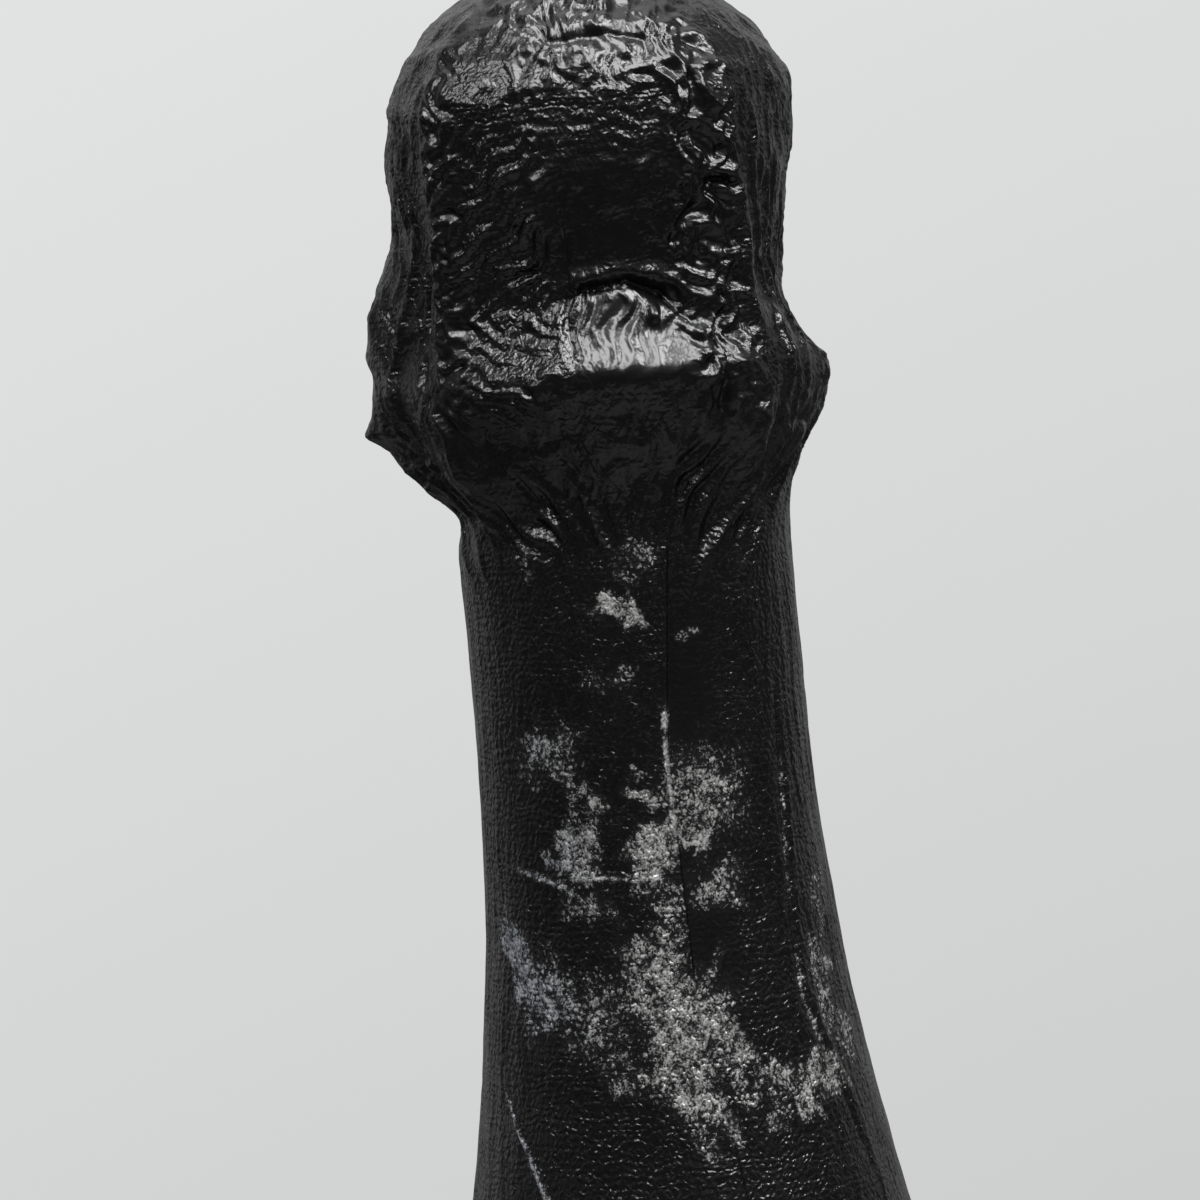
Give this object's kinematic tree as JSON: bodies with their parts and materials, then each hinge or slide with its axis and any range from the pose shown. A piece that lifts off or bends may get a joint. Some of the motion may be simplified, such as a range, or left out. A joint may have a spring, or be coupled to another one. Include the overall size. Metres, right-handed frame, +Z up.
{
  "type": "wine bottle",
  "caption": "Full, unopened sparkling-wine bottle with a punted base, plain paper labels and a crumpled black foil capsule over cork, wire hood and neck.",
  "frame": {"origin": "middle of the ring that the bottle stands on", "axes": "+Z up along the bottle's axis, the front with the foil's seam and the large label faces -Y, +X is to the right seen from the front"},
  "size_m": [0.088, 0.0884, 0.32],
  "materials": {
    "bottle_glass": "smooth, very dark green glass, full of wine, so it looks almost black",
    "foil": "black lacquered aluminium foil with a fine pebble emboss, crumpled, worn to bare metal in patches",
    "label_paper": "uncoated off-white label paper, faintly laid"
  },
  "bodies": {
    "root": {"glass_bottle": "bottle_glass", "foil_capsule": "foil", "front_label": "label_paper", "back_label": "label_paper"}
  },
  "joints": []
}
